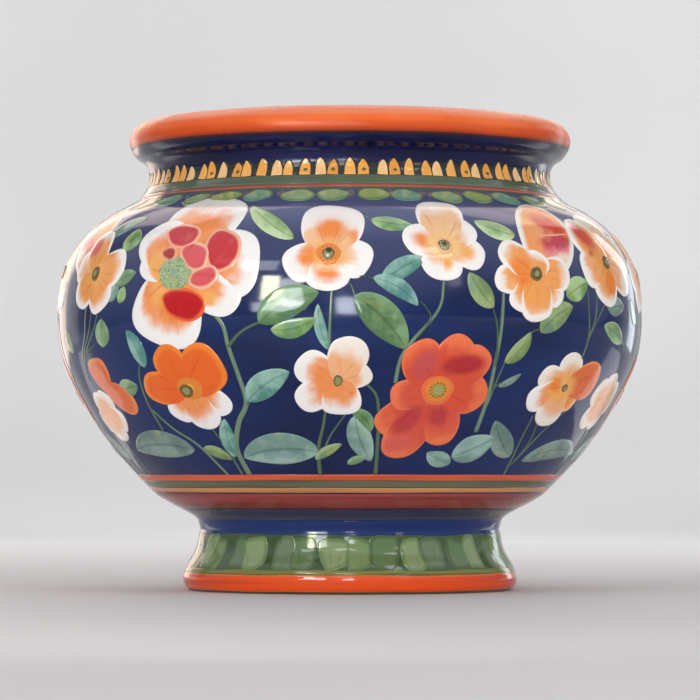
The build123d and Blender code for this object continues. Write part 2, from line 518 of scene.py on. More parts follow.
class Enamel:
    """One painted piece: thin raised touches of enamel, gathered into one mesh."""

    def __init__(self):
        self.spots, self.faces = [], []
        self.numbers = {"along": [], "edge": [], "spoke": [], "ink": [], "full_rim": []}
        self.tints = {"heart": [], "rim": []}
        self.count = 0

    def add(self, spots, faces, look, **numbers):
        """Adds a closed touch. Faces count from its own first spot. look is (heart, rim).

        ink is how strongly it is outlined. full_rim is 0 where the sides near the core have no rim.
        """
        self.spots.append(spots)
        self.faces += [[self.count + i for i in face] for face in faces]
        for key, stored in self.numbers.items():
            stored.append(np.broadcast_to(np.asarray(numbers.get(key, 1.0), float), len(spots)))
        for key, tint in zip(("heart", "rim"), look):
            self.tints[key].append(np.broadcast_to(tint, (len(spots), 4)))
        self.count += len(spots)

    def piece(self, name, material, slot):
        made = new_piece(name, np.concatenate(self.spots), self.faces, [material])
        for key, stored in self.numbers.items():
            layer = made.data.attributes.new(key, "FLOAT", "POINT")
            layer.data.foreach_set("value", np.concatenate(stored).astype(np.float32))
        for key, stored in self.tints.items():
            layer = made.data.attributes.new(key, "FLOAT_COLOR", "POINT")
            layer.data.foreach_set("color", np.concatenate(stored).astype(np.float32).ravel())
        return made


def home(azimuth, height):
    """Wall coordinates (radians, length) of an azimuth in degrees and a height in millimetres."""
    return math.radians(azimuth), float(OUTSIDE.length_at(height * MM))


def near(centre, across, up):
    """Wall coordinates of points some millimetres across and up from a home point."""
    s = centre[1] + np.asarray(up) * MM
    return centre[0] + np.asarray(across) * MM / OUTSIDE.at(s)[0], s


RINGS = np.array([0.2, 0.4, 0.58, 0.72, 0.84, 0.92, 0.97, 1.0])


def stained(look, across, up, edge, stains):
    """A look spot by spot, with soft stains soaked into it but not into its rim.

    A stain is (its place across and up from the piece's centre, half length, half width, tilt, tint).
    """
    heart, rim = (np.tile(tint, (len(across), 1)) for tint in look)
    inland = np.clip(edge / look[1][3] - 0.6, 0, 1)
    for (x, y), half_length, half_width, tilt, tint in stains:
        cos_tilt, sin_tilt = math.cos(math.radians(tilt)), math.sin(math.radians(tilt))
        long_way = ((across - x) * cos_tilt + (up - y) * sin_tilt) / half_length
        broad_way = ((up - y) * cos_tilt - (across - x) * sin_tilt) / half_width
        share = np.clip((1.2 - np.hypot(long_way, broad_way)) / 0.6, 0, 1)
        share = share**2 * (3 - 2 * share)
        heart[:, :3] += share[:, None] * (np.array(tint[:3]) - heart[:, :3])
        rim[:, :3] += (share * inland)[:, None] * (np.array(tint[:3]) - rim[:, :3])
    return heart, rim


def blob(enamel, centre, at, half_length, half_width, tilt, look, lift, core=None, reach=1.0,
         egg=0.0, square=1.0, wave=0.03, seed=0.0, points=48, ink=1.0, full_rim=1.0, stains=()):
    """A rounded touch, its long axis tilted. core is the point its strokes fan out from."""
    t = np.linspace(0, TURN, points, endpoint=False)
    long_side = half_length * np.sign(np.cos(t)) * np.abs(np.cos(t)) ** square
    broad_side = half_width * np.sign(np.sin(t)) * np.abs(np.sin(t)) ** square * (1 + egg * np.cos(t))
    ripple = 1 + wave * np.sin(3 * t + 1.7 * seed) + 0.6 * wave * np.sin(5 * t + 2.9 * seed)
    x, y = long_side * ripple, broad_side * ripple
    cos_tilt, sin_tilt = math.cos(math.radians(tilt)), math.sin(math.radians(tilt))
    span = np.hypot(x, y)
    q = np.concatenate(([0.0], np.repeat(RINGS, points), [0.0]))
    x = np.concatenate(([0.0], np.tile(x, len(RINGS)), [0.0])) * q
    y = np.concatenate(([0.0], np.tile(y, len(RINGS)), [0.0])) * q
    across = at[0] + x * cos_tilt - y * sin_tilt
    up = at[1] + x * sin_tilt + y * cos_tilt
    rise = lift * np.sqrt(1 - q**8)
    rise[-1 - points:] = SUNK
    rise[-1] = 3 * SUNK
    phi, s = near(centre, across, up)
    spots = on_wall(phi, s, rise)
    core = at if core is None else core
    out_x, out_y = across - core[0], up - core[1]
    turned = np.arctan2(out_y * cos_tilt - out_x * sin_tilt, out_x * cos_tilt + out_y * sin_tilt)
    edge = (1 - q) * np.concatenate(([span.min()], np.tile(span, len(RINGS)), [span.min()]))
    ring = np.arange(points)
    step = (ring + 1) % points
    faces = np.stack((np.zeros(points, int), 1 + ring, 1 + step), axis=1).tolist()
    for k in range(len(RINGS) - 1):
        first = 1 + k * points
        quads = (first + ring, first + points + ring, first + points + step, first + step)
        faces += np.stack(quads, axis=1).tolist()
    last = 1 + (len(RINGS) - 1) * points
    under = np.full(points, last + points)
    faces += np.stack((under, last + step, last + ring), axis=1).tolist()
    look = stained(look, across, up, edge, stains)
    enamel.add(spots, faces, look, along=np.hypot(out_x, out_y) / reach, edge=edge, spoke=turned + seed,
               ink=ink, full_rim=full_rim)


def ribbon(enamel, phi, s, half_width, look, lift, strands=7, closed=False, rib=0.0):
    """A brush stroke along a line on the wall. half_width is in millimetres at each point."""
    radius = OUTSIDE.at(s)[0]
    if closed:
        run, climb = np.ones_like(phi), np.zeros_like(phi)
    else:
        run, climb = np.gradient(phi) * radius, np.gradient(s)
    size = np.hypot(run, climb)
    top = np.linspace(-1, 1, strands)
    top = np.sign(top) * np.abs(top) ** 0.8
    v = np.concatenate((top, top[-2:0:-1]))
    shift = half_width[:, None] * MM * v
    phi_grid = phi[:, None] - (climb / size)[:, None] * shift / radius[:, None]
    s_grid = s[:, None] + (run / size)[:, None] * shift
    rise = lift * (1 - v**6) * np.ones_like(shift)
    rise[:, strands // 2] -= rib * MM
    rise[:, strands - 1:] = 2 * SUNK
    rise[:, [0, strands - 1]] = SUNK
    spots = on_wall(phi_grid, s_grid, rise).reshape(-1, 3)
    count, loop = len(phi), len(v)
    k = np.arange(count if closed else count - 1)[:, None]
    i = np.arange(loop)
    ahead, side = (k + 1) % count, (i + 1) % loop
    quads = (k * loop + i, ahead * loop + i, ahead * loop + side, k * loop + side)
    faces = np.stack(quads, axis=-1).reshape(-1, 4).tolist()
    if not closed:
        faces += [i.tolist(), ((count - 1) * loop + i[::-1]).tolist()]
    along = np.repeat(np.linspace(0, 1, count), loop)
    edge = (half_width[:, None] * (1 - np.abs(v))).ravel()
    enamel.add(spots, faces, look, along=along, edge=edge, spoke=np.tile(v, count))


def smooth_path(points, steps):
    """A smooth curve through (azimuth, height) points, as wall coordinates."""
    marks = np.array([home(*p) for p in points])
    ends = np.vstack((2 * marks[0] - marks[1], marks, 2 * marks[-1] - marks[-2]))
    t = np.linspace(0, len(marks) - 1, steps)
    k = np.clip(t.astype(int), 0, len(marks) - 2)
    f = (t - k)[:, None]
    a, b, c, d = (ends[k + n] for n in range(4))
    square, cube = 2 * a - 5 * b + 4 * c - d, 3 * b - a - 3 * c + d
    curve = 0.5 * (2 * b + (c - a) * f + square * f**2 + cube * f**3)
    return curve[:, 0], curve[:, 1]


def leaf(enamel, base, tip, width, look, bend, lift):
    """A leaf from its base to its tip, both (azimuth, height), bowed sideways by bend millimetres."""
    u = np.linspace(0.004, 0.996, 22)
    start, end = np.array(home(*base)), np.array(home(*tip))
    radius = OUTSIDE.at((start[1] + end[1]) / 2)[0]
    run, climb = (end[0] - start[0]) * radius, end[1] - start[1]
    size = math.hypot(run, climb)
    bow = 4 * u * (1 - u) * bend * MM
    phi = start[0] + (end[0] - start[0]) * u - bow * climb / size / radius
    s = start[1] + climb * u + bow * run / size
    half_width = width / 2 * np.sin(math.pi * u**0.88) ** 0.66
    ribbon(enamel, phi, s, half_width, look, lift, strands=9, rib=0.05)


def stem(enamel, points, width, look, lift):
    """A stem through (azimuth, height) points, thinner towards its end."""
    phi, s = smooth_path(points, 8 * len(points))
    u = np.linspace(0, 1, len(phi))
    half_width = width / 2 * (1.05 - 0.35 * u)
    ribbon(enamel, phi, s, half_width, look, lift, strands=5)


def hoop(name, low, high, look, waver, lift, seed):
    """A band painted round the pot between two heights."""
    phi = np.linspace(0, TURN, STEPS_AROUND, endpoint=False)
    bottom, top = OUTSIDE.length_at(low * MM), OUTSIDE.length_at(high * MM)
    waves = [np.sin(n * phi + seed * (n + 1.3)) + 0.6 * np.sin((2 * n + 5) * phi - seed) for n in (3, 4)]
    bottom = bottom + waver * MM * waves[0]
    top = top + waver * MM * waves[1]
    enamel = Enamel()
    half_width = (top - bottom) / 2 / MM
    ribbon(enamel, phi, (bottom + top) / 2, half_width, look, lift, strands=9, closed=True)
    enamel.piece(name, BAND, "band_enamel")


# ---------------------------------------------------------------- the painter's colours

# A look is (heart colour with its reach, rim colour with its width in millimetres).
PETALS = {
    "snow": (paint(247, 150, 82, 0.68), paint(251, 247, 242, 4.4)),
    "snow_small": (paint(247, 152, 88, 0.70), paint(250, 245, 243, 3.0)),
    "pale_snow": (paint(249, 192, 140, 0.60), paint(252, 247, 243, 4.4)),
    "peach": (paint(249, 196, 144, 0.76), paint(252, 245, 238, 4.0)),
    "blush": (paint(250, 176, 118, 0.76), paint(251, 243, 236, 3.2)),
    "cream": (paint(248, 182, 132, 0.70), paint(248, 238, 226, 3.4)),
    "amber": (paint(246, 152, 70, 0.92), paint(250, 196, 140, 2.6)),
    "tangerine": (paint(242, 106, 36, 1.15), paint(248, 134, 46, 4.0)),
    "scarlet": (paint(222, 82, 56, 0.80), paint(242, 118, 74, 1.7)),
    "rust": (paint(220, 86, 64, 0.80), paint(242, 122, 78, 1.7)),
    "outer": (paint(248, 154, 86, 0.78), paint(252, 248, 244, 8.8)),
    "honey": (paint(249, 166, 86, 0.84), paint(252, 245, 238, 3.8)),
    "russet": (paint(232, 112, 62, 0.95), paint(242, 140, 86, 2.6)),
    "red_lobe": (paint(206, 46, 52, 2.0), paint(250, 184, 150, 2.3)),
    "dark_lobe": (paint(172, 48, 44, 2.0), paint(248, 172, 130, 1.9)),
    "pink_lobe": (paint(226, 92, 96, 2.0), paint(250, 192, 160, 2.3)),
    "crimson_lobe": (paint(196, 18, 26, 2.0), paint(244, 106, 50, 2.6)),
    "peach_ring": (paint(244, 158, 96, 2.0), paint(236, 116, 70, 0.8)),
    "sage_eye": (paint(156, 166, 112, 2.0), paint(176, 152, 66, 1.0)),
    "glint": (paint(226, 230, 206, 2.0), paint(170, 180, 140, 0.3)),
    "pale_yolk": (paint(250, 214, 140, 2.0), paint(248, 186, 132, 1.0)),
    "yolk": (paint(246, 180, 62, 2.0), paint(232, 138, 54, 0.8)),
    "eye": (paint(44, 56, 34, 2.0), paint(120, 96, 44, 0.8)),
    "thread": (paint(250, 190, 150, 2.0), paint(250, 176, 140, 0.2)),
    "olive_eye": (paint(150, 150, 92, 2.0), paint(84, 82, 46, 1.1)),
    "speckle": (paint(138, 176, 156, 2.0), paint(168, 186, 130, 1.2)),
}

CORAL, CRIMSON, ROSE = paint(226, 80, 66), paint(198, 32, 54), paint(206, 82, 82)
DARK_RED, MADDER, BLUSH_RED = paint(182, 44, 50), paint(194, 62, 64), paint(224, 96, 84)
PINK, CREAM = paint(240, 132, 134), paint(250, 222, 204)
AMBER, GOLD, STRAW = paint(247, 140, 54), paint(250, 176, 92), paint(250, 204, 132)
FLAME, TAN = paint(238, 84, 44), paint(204, 96, 44)

LEAVES = {
    "light": (paint(138, 172, 106, 0.5), paint(200, 224, 172)),
    "fresh": (paint(106, 148, 82, 0.6), paint(176, 206, 146)),
    "mid": (paint(112, 146, 102, 0.6), paint(156, 186, 144)),
    "teal": (paint(82, 138, 128, 0.7), paint(154, 194, 180)),
    "deep": (paint(86, 122, 78, 0.7), paint(126, 162, 118)),
    "sage": (paint(118, 152, 142, 0.5), paint(160, 190, 178)),
    "dusk": (paint(102, 128, 120, 0.5), paint(138, 162, 152)),
    "moss": (paint(112, 138, 84, 0.5), paint(156, 178, 122)),
}

STEM = (paint(118, 142, 118, 2.0), paint(66, 90, 66, 0.8))
STEM_DARK = (paint(88, 112, 84, 2.0), paint(52, 72, 50, 0.7))


# ---------------------------------------------------------------- flowers

# A petal is (direction in degrees, reach, width, look); the first painted lies lowest.
FLOWERS = {
    "pansy": dict(
        at=(-4, 142), core="yolk_eye",
        petals=[(-10, 18.5, 17, "pale_snow"), (199, 19.5, 17, "pale_snow"),
                (268, 16, 18, "pale_snow"), (86, 27, 26.5, "pale_snow")],
        stains=[((0.5, 12.0), 6.0, 6.0, 80, AMBER), ((13.0, 9.6), 5.2, 4.6, 30, AMBER),
                ((-8.8, -0.8), 4.6, 4.8, 0, AMBER), ((-0.5, -9.4), 5.8, 4.4, 0, AMBER),
                ((0.2, -12.2), 2.6, 1.4, 0, FLAME), ((0, 0), 6.6, 6.2, 0, GOLD)],
    ),
    "peach_bloom": dict(
        at=(18, 146), core="green_eye",
        petals=[(258, 15.5, 18.5, "pale_snow"), (-18, 19, 14, "pale_snow"), (38, 18.5, 15, "pale_snow"),
                (163, 17.5, 16, "pale_snow"), (84, 27, 20.5, "peach")],
        stains=[((-11.0, 2.4), 4.8, 4.0, 0, AMBER), ((10.4, -2.6), 4.0, 4.6, 20, GOLD),
                ((0.8, -9.6), 2.2, 4.2, 0, GOLD), ((0, 0), 7.6, 6.6, 0, STRAW)],
    ),
    "coral_bloom": dict(
        at=(37, 135), core="ring_eye",
        petals=[(-40, 18.5, 13, "honey"), (2, 20.5, 15.5, "honey"), (190, 21.5, 13.5, "honey"),
                (232, 19.5, 13, "honey"), (70, 11, 13, "honey"), (142, 20, 15.5, "honey"),
                (268, 20.5, 17.5, "honey")],
        stains=[((-7, 1), 6.0, 7.0, 0, AMBER), ((2, 9), 6.0, 3.0, -20, CREAM)],
    ),
    "amber_right": dict(
        at=(59.5, 142), core="ring_eye",
        petals=[(66, 29, 24, "peach"), (14, 30, 21, "blush"), (-24, 24, 16, "cream"),
                (253, 20, 19, "honey"), (194, 21.5, 18, "honey"), (128, 25.5, 22, "honey")],
        stains=[((-9.5, 12.5), 8.0, 5.5, 130, CORAL), ((-11, 3.4), 2.4, 1.5, 20, TAN),
                ((0, -9), 6, 5, 80, AMBER)],
    ),
    "amber_left": dict(
        at=(-57.5, 137), core="ring_eye",
        petals=[(165, 21, 16, "blush"), (215, 20.5, 16, "honey"), (-62, 18, 19, "honey"),
                (10, 21.5, 17, "honey"), (110, 22, 18, "honey")],
        stains=[((-7.5, 13), 6, 5, 110, CORAL), ((0, 0), 8, 7, 0, GOLD)],
    ),
    "tangerine": dict(
        at=(-34.5, 86.5), core="olive_in_yolk",
        petals=[(-25, 21, 14, "snow_small"), (233, 17.5, 14.5, "snow_small"), (290, 20, 16, "snow_small"),
                (175, 24, 16, "tangerine"), (112, 22.5, 17, "tangerine"), (42, 25.5, 22, "tangerine")],
    ),
    "cream_pansy": dict(
        at=(-2.3, 90), core="small_green",
        petals=[(18, 14.5, 12, "cream"), (152, 19.5, 15.5, "snow"), (214, 20.5, 15, "snow"),
                (68, 20.5, 16.5, "cream"), (276, 16.5, 17, "snow_small")],
    ),
    "anemone": dict(
        at=(17.5, 86.5), core="wide_yolk",
        petals=[(221, 30.5, 15.5, "rust"), (246, 37, 19, "rust"), (284, 28, 17, "rust"),
                (192, 20.5, 14.5, "rust"), (-8, 23, 19, "scarlet"), (122, 24.5, 18.5, "scarlet"),
                (40, 27.5, 15.5, "scarlet"), (68, 25.5, 19, "scarlet")],
        stains=[((9.8, 11.6), 10.5, 4.6, 8, DARK_RED), ((-7.2, 11.4), 7.5, 5.4, 62, ROSE),
                ((-10.4, -14.6), 8.6, 4.6, 56, MADDER), ((2.2, -12.2), 5.2, 4.8, 90, MADDER),
                ((-13, -26), 8.0, 5.0, 20, BLUSH_RED)],
    ),
    "apricot": dict(
        at=(48.5, 88), core="faint_eye",
        petals=[(95, 16.5, 15, "cream"), (160, 19, 12.5, "cream"), (-35, 14.5, 13, "amber"),
                (14, 25, 18, "russet"), (201, 21, 14.5, "snow"), (256, 19.5, 16, "cream")],
        stains=[((-2, 0), 9.5, 7.0, 0, GOLD), ((-6.5, 1.5), 4.0, 3.6, 0, AMBER)],
    ),
    "pale_right": dict(
        at=(67, 83), core="none",
        petals=[(150, 14, 15, "cream"), (80, 14, 14, "cream"), (10, 17, 16, "cream"),
                (-65, 15, 14, "cream"), (235, 16, 13, "blush")],
    ),
    "small_poppy": dict(
        at=(-59.5, 88), core="none",
        petals=[(-28, 20, 14, "russet"), (95, 15, 17, "russet")],
    ),
    "pale_left": dict(
        at=(-64.5, 77), core="none",
        petals=[(60, 13, 13, "cream"), (130, 13, 13, "blush"), (200, 14, 13, "blush"),
                (265, 14, 14, "cream"), (-20, 13, 13, "blush")],
    ),
    "side_rose": dict(
        at=(-79, 140), core="ring_eye",
        petals=[(85, 27, 24, "blush"), (160, 19, 16, "snow"), (10, 19, 16, "cream"),
                (235, 18, 17, "snow_small"), (-55, 18, 17, "snow_small")],
    ),
    "side_amber": dict(
        at=(80.5, 138), core="yolk_eye",
        petals=[(180, 19, 16, "cream"), (235, 18, 16, "cream"), (-55, 18, 16, "snow"),
                (5, 19, 16, "snow"), (92, 25, 25, "amber")],
    ),
    "side_poppy": dict(
        at=(89.5, 86), core="wide_yolk",
        petals=[(270, 22, 18, "rust"), (200, 20, 16, "scarlet"), (-20, 20, 16, "scarlet"),
                (45, 21, 17, "rust"), (128, 22, 18, "scarlet")],
    ),
}


def dots(enamel, centre, at, ring_radius, number, size, look, lift):
    """A ring of small raised dots."""
    for k in range(number):
        turn = TURN * k / number + 0.3
        spot = (at[0] + ring_radius * math.cos(turn), at[1] + ring_radius * math.sin(turn))
        blob(enamel, centre, spot, size, size, 0, look, lift, wave=0.0, points=10)


GOLDEN_ANGLE = math.radians(137.508)


def seeded_head(enamel, centre, at, half_length, half_width):
    """The peony's oval seed head, thick with flecks of green, ochre and pale blue."""
    blob(enamel, centre, at, half_length, half_width, -6, PETALS["speckle"], 0.62 * MM, wave=0.02)
    flecks = [paint(176, 206, 190, 2.0), paint(98, 148, 130, 2.0), paint(192, 194, 124, 2.0),
              paint(126, 176, 188, 2.0), paint(218, 228, 210, 2.0)]
    chance = np.random.default_rng(7)
    number = 170
    for k in range(number):
        turn = k * GOLDEN_ANGLE + chance.uniform(-0.5, 0.5)
        out = min(0.94, 0.93 * math.sqrt((k + 0.5) / number) + chance.uniform(-0.05, 0.05))
        spot = (at[0] + half_length * out * math.cos(turn), at[1] + half_width * out * math.sin(turn))
        tint = flecks[chance.integers(len(flecks))]
        size = 0.62 - 0.14 * out
        height = 0.62 * MM * math.sqrt(1 - abs(out)**8) + 0.14 * MM
        blob(enamel, centre, spot, size, 0.6 * size, chance.uniform(0, 180), (tint, tint), height,
             wave=0.0, points=8)


def flower_core(enamel, centre, kind, lift):
    """The middle of a flower, on top of its petals."""
    def disc(radius, look, rise, at=(0, 0), squash=1.0, tilt=0):
        blob(enamel, centre, at, radius, radius * squash, tilt, PETALS[look], lift + rise * MM, wave=0.03)

    def ring(radius, number, size, look, rise, at=(0, 0)):
        dots(enamel, centre, at, radius, number, size, look, lift + rise * MM)

    pollen = (paint(214, 170, 84, 2.0), paint(150, 96, 40, 0.3))
    rust = (paint(206, 120, 44, 2.0), paint(190, 110, 50, 0.3))
    moss = (paint(96, 118, 84, 2.0), paint(80, 96, 60, 0.3))
    glint = (paint(206, 210, 170, 2.0), paint(150, 150, 100, 0.2))
    if kind == "yolk_eye":
        disc(5.2, "yolk", 0.10)
        disc(2.9, "olive_eye", 0.24)
        disc(1.7, "eye", 0.36, at=(0.2, 1.5), squash=0.9)
        disc(0.9, "glint", 0.40, at=(-0.3, -0.8))
        ring(3.4, 13, 0.28, rust, 0.26)
    elif kind == "green_eye":
        disc(4.2, "pale_yolk", 0.06)
        disc(3.0, "olive_eye", 0.14)
        disc(1.5, "eye", 0.26, at=(0.2, 0.7))
        ring(2.0, 9, 0.42, glint, 0.28, at=(0, -0.4))
    elif kind == "ring_eye":
        disc(3.7, "eye", 0.14, squash=0.84, tilt=40)
        disc(2.3, "olive_eye", 0.30, squash=0.84, tilt=40)
        ring(2.7, 11, 0.34, pollen, 0.34)
    elif kind == "olive_in_yolk":
        disc(7.0, "yolk", 0.06, at=(2.2, 1.2), squash=0.8)
        disc(3.9, "eye", 0.22, squash=0.88)
        disc(2.9, "olive_eye", 0.34, squash=0.88)
        ring(2.9, 12, 0.34, pollen, 0.42)
    elif kind == "wide_yolk":
        disc(7.6, "peach_ring", 0.06)
        disc(6.3, "yolk", 0.16)
        disc(3.7, "sage_eye", 0.28)
        ring(3.3, 13, 0.40, moss, 0.4)
        ring(1.6, 7, 0.38, glint, 0.4)
    elif kind == "small_green":
        disc(2.7, "olive_eye", 0.14, squash=0.75, tilt=85)
        ring(1.7, 8, 0.32, glint, 0.30)
    elif kind == "faint_eye":
        disc(2.1, "olive_eye", 0.12, squash=0.9)
        ring(1.4, 7, 0.28, pollen, 0.22)


BASE_LIFT, LIFT_STEP = 0.22 * MM, 0.05 * MM
PETAL_INSET = 2.0  # how far a petal's inner end runs past the flower's centre


def petal_place(direction, reach):
    """Where a petal's own centre lies from the flower's, and the petal's half length."""
    half_length = (reach + PETAL_INSET) / 2
    out, turn = reach - half_length, math.radians(direction)
    return (out * math.cos(turn), out * math.sin(turn)), half_length


def flower(name, at, petals, core, turn, seed, stains=()):
    """One flower: its petals laid over each other round a core, with stains soaked into them."""
    enamel = Enamel()
    azimuth, height = at
    centre = home(azimuth + turn, height)
    for k, (direction, reach, width, look) in enumerate(petals):
        spot, half_length = petal_place(direction, reach)
        blob(enamel, centre, spot, half_length, width / 2, direction, PETALS[look],
             BASE_LIFT + k * LIFT_STEP, core=(0, 0), reach=reach, egg=0.22, square=0.93, wave=0.025,
             seed=seed + 1.3 * k, points=64, full_rim=0.0, stains=stains)
    flower_core(enamel, centre, core, BASE_LIFT + len(petals) * LIFT_STEP)
    enamel.piece(name, PETAL, "flower_enamel")


def peony(name, turn):
    """The big peony: white-edged outer petals, red lobes with pale outlines, a seeded head."""
    enamel = Enamel()
    centre = home(-34 + turn, 135)
    outer = [(80, 44.5, 38), (9, 39, 32), (-25, 33.5, 18), (252, 32, 37), (165, 22, 14), (130, 31, 25)]
    stains = [((5, 23), 12, 5.0, 6, AMBER), ((-11, 3), 6, 9, 0, GOLD), ((17, -13), 8, 5, -30, GOLD),
              ((-8, -9), 5, 5, 0, GOLD), ((4.6, -15.0), 13.0, 8.8, -14, AMBER)]
    for k, (direction, reach, width) in enumerate(outer):
        spot, half_length = petal_place(direction, reach)
        blob(enamel, centre, spot, half_length, width / 2, direction, PETALS["outer"],
             BASE_LIFT + k * LIFT_STEP, core=(0, 0), reach=reach, egg=0.2, square=0.9, wave=0.02,
             seed=2.1 * k, points=72, full_rim=0.0, stains=stains)
    lobes = [
        ((3.8, -13.0), 11.8, 7.4, -12, "crimson_lobe"),
        ((20.0, 10.5), 11.0, 8.4, -62, "red_lobe"),
        ((-1.8, 17.6), 9.6, 6.6, -14, "red_lobe"),
        ((-5.6, 8.9), 4.6, 3.6, -18, "dark_lobe"),
        ((13.5, -2.0), 7.6, 5.2, 14, "pink_lobe"),
        ((7.6, 7.6), 8.4, 6.2, -34, "pink_lobe"),
    ]
    for k, (spot, half_length, half_width, tilt, look) in enumerate(lobes):
        lift = BASE_LIFT + (len(outer) + k) * LIFT_STEP
        blob(enamel, centre, spot, half_length, half_width, tilt, PETALS[look], lift,
             core=(0, 0), reach=30, egg=0.12, wave=0.03, seed=1.9 * k, points=56, ink=0.5)
    seeded_head(enamel, centre, (-0.8, 0.4), 9.4, 7.6)
    enamel.piece(name, PETAL, "flower_enamel")


def tall_petal(name, azimuth, height, tilt, turn, mirror=1):
    """A big tilted petal: orange turning coral above, a crimson streak and pale pink below."""
    enamel = Enamel()
    centre = home(azimuth + turn, height)
    white = (paint(250, 158, 84, 60.0), paint(251, 243, 236, 4.2))
    patches = [(-7.0, 11.0, 7.0, 6.0, -30, GOLD), (5.6, 7.0, 10.5, 5.8, -26, CORAL),
               (3.8, -7.4, 10.0, 3.6, 4, PINK), (6.6, -11.2, 8.6, 3.6, 0, CREAM),
               (4.6, -2.6, 11.0, 3.8, 5, CRIMSON)]
    stains = [((x * mirror, y), half_length, half_width, tip * mirror, tint)
              for x, y, half_length, half_width, tip, tint in patches]
    blob(enamel, centre, (0, 0), 23.0, 15.6, tilt, white, 0.14 * MM, core=(-12 * mirror, -16), reach=40,
         egg=0.1, wave=0.02, points=96, stains=stains)
    blob(enamel, centre, (5.6 * mirror, 1.2), 11.5, 0.42, 6 * mirror, PETALS["thread"], 0.22 * MM,
         wave=0.0, ink=0.0)
    enamel.piece(name, PETAL, "flower_enamel")


# ---------------------------------------------------------------- leaves and stems

# A leaf is (base, tip, width, look, bend); base and tip are (azimuth, height).
LEAF_SPRIGS = {
    "leaves_peony": [
        ((-10.8, 148.6), (-21.8, 163.6), 10.0, "light", 1.2),
        ((-16.8, 113.5), (-5.6, 126.0), 15.5, "deep", 2.4),
        ((-14.6, 111.0), (-6.2, 115.5), 9.0, "fresh", -2.0),
        ((-21.2, 81.5), (-11.6, 93.6), 13.0, "teal", 1.5),
        ((-7.2, 60.8), (-26.0, 58.2), 19.0, "sage", -3.0),
        ((-8.2, 57.5), (-1.8, 64.0), 5.6, "mid", 0.6),
        ((-28.4, 58.5), (-27.6, 74.6), 8.4, "teal", 0.8),
        ((-36.4, 62.0), (-29.6, 57.5), 7.4, "moss", 1.0),
    ],
    "leaves_pansy": [
        ((-4.0, 102.6), (-5.8, 121.4), 5.6, "teal", 1.2),
        ((0.8, 124.6), (10.4, 102.8), 16.5, "deep", 2.0),
        ((4.2, 132.0), (12.4, 120.6), 8.6, "teal", 2.2),
        ((5.6, 129.0), (14.6, 140.6), 9.6, "teal", 2.0),
        ((4.2, 156.8), (12.6, 154.2), 9.0, "fresh", -0.6),
        ((0.2, 77.6), (4.4, 69.0), 7.0, "deep", 2.2),
        ((1.0, 75.6), (5.0, 56.8), 11.5, "sage", -1.4),
        ((-0.6, 55.6), (4.0, 58.6), 5.0, "mid", 0.4),
    ],
    "leaves_peach": [
        ((34.4, 151.6), (26.0, 157.2), 11.0, "light", 1.4),
        ((27.2, 120.6), (22.4, 134.8), 10.5, "moss", 0.8),
        ((30.6, 98.0), (35.6, 110.6), 8.4, "moss", -1.6),
        ((38.0, 110.6), (46.2, 122.0), 12.4, "moss", 1.8),
        ((30.6, 88.0), (35.2, 93.4), 4.0, "dusk", -0.8),
        ((24.6, 58.8), (34.0, 67.0), 16.5, "sage", -1.0),
        ((25.0, 56.0), (18.2, 60.6), 9.6, "sage", 0.8),
        ((41.6, 58.8), (32.6, 73.8), 12.0, "dusk", 1.6),
    ],
    "leaves_right": [
        ((44.6, 126.0), (51.2, 132.6), 12.0, "fresh", 0.6),
        ((65.4, 108.2), (56.6, 114.6), 9.4, "mid", -0.8),
        ((46.6, 57.0), (70.0, 60.0), 12.5, "dusk", 4.6),
        ((57.8, 122.4), (65.4, 123.6), 9.6, "dusk", 0.4),
        ((73.6, 116.6), (69.6, 127.4), 9.0, "mid", 1.0),
        ((72.0, 58.4), (79.6, 68.0), 10.6, "sage", -1.2),
        ((84.0, 57.0), (95.4, 61.4), 10.4, "sage", 3.0),
        ((84.6, 105.0), (90.2, 116.6), 9.4, "teal", -1.2),
        ((90.0, 150.0), (94.6, 160.2), 9.4, "light", 1.0),
        ((92.6, 126.4), (98.6, 118.2), 9.0, "mid", 1.0),
    ],
    "leaves_left": [
        ((-48.6, 145.6), (-48.4, 155.4), 13.0, "fresh", 0.4),
        ((-59.0, 152.6), (-48.6, 160.6), 9.6, "sage", 1.0),
        ((-50.4, 131.6), (-44.4, 136.2), 7.4, "mid", 0.6),
        ((-52.4, 125.0), (-49.0, 131.8), 7.2, "sage", 0.0),
        ((-48.6, 123.6), (-47.2, 130.4), 6.6, "fresh", 0.2),
        ((-54.8, 105.4), (-54.4, 117.4), 12.4, "mid", 0.2),
        ((-43.6, 96.2), (-46.8, 112.0), 9.6, "teal", -1.4),
        ((-54.4, 87.0), (-47.8, 88.8), 9.4, "mid", 0.2),
        ((-39.0, 61.8), (-61.6, 61.8), 16.5, "dusk", -3.0),
        ((-69.0, 104.6), (-72.4, 114.6), 9.4, "mid", 0.8),
        ((-70.2, 58.6), (-77.0, 69.0), 10.4, "sage", 1.2),
    ],
}

